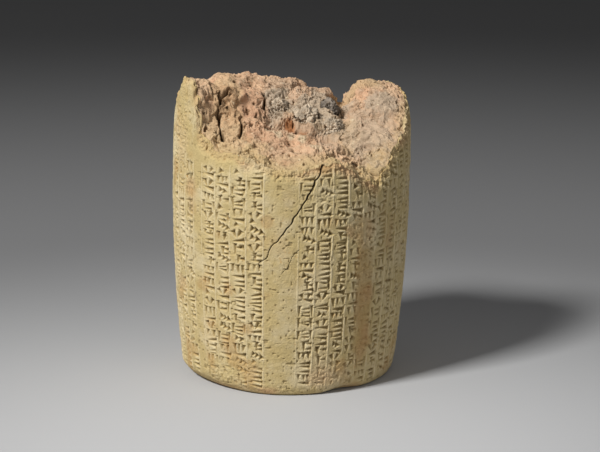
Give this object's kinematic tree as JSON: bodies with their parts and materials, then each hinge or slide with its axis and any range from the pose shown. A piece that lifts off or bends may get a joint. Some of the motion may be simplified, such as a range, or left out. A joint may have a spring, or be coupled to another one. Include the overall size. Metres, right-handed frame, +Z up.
{
  "type": "cuneiform cylinder",
  "caption": "Broken half of a solid fired-clay barrel cylinder with rows of wedge signs running up its side, standing on its flat end.",
  "frame": {"origin": "middle of the object's outline, on the surface it stands on", "axes": "+Z up the barrel from its flat end to the break; the blank strip and the lower side of the break face -Y; +X is to the right seen from the front"},
  "size_m": [0.0906, 0.0904, 0.1162],
  "materials": {
    "core_clay": "matte",
    "inner_clay": "matte",
    "outer_clay": "matte",
    "slip": "matte",
    "end_slip": "matte",
    "grey_stone": "matte",
    "dark_stone": "matte"
  },
  "bodies": {
    "root": {"core_cone": "core_clay", "inner_clay_layer": "inner_clay", "outer_clay_layer": "outer_clay", "writing_slip": "slip", "end_slip": "end_slip", "grey_stone_left": "grey_stone", "grey_stone_right": "grey_stone", "grey_stone_socketed": "grey_stone", "dark_stone_back": "dark_stone", "grey_stone_low_left": "grey_stone", "grey_stone_low_right": "grey_stone"}
  },
  "joints": []
}
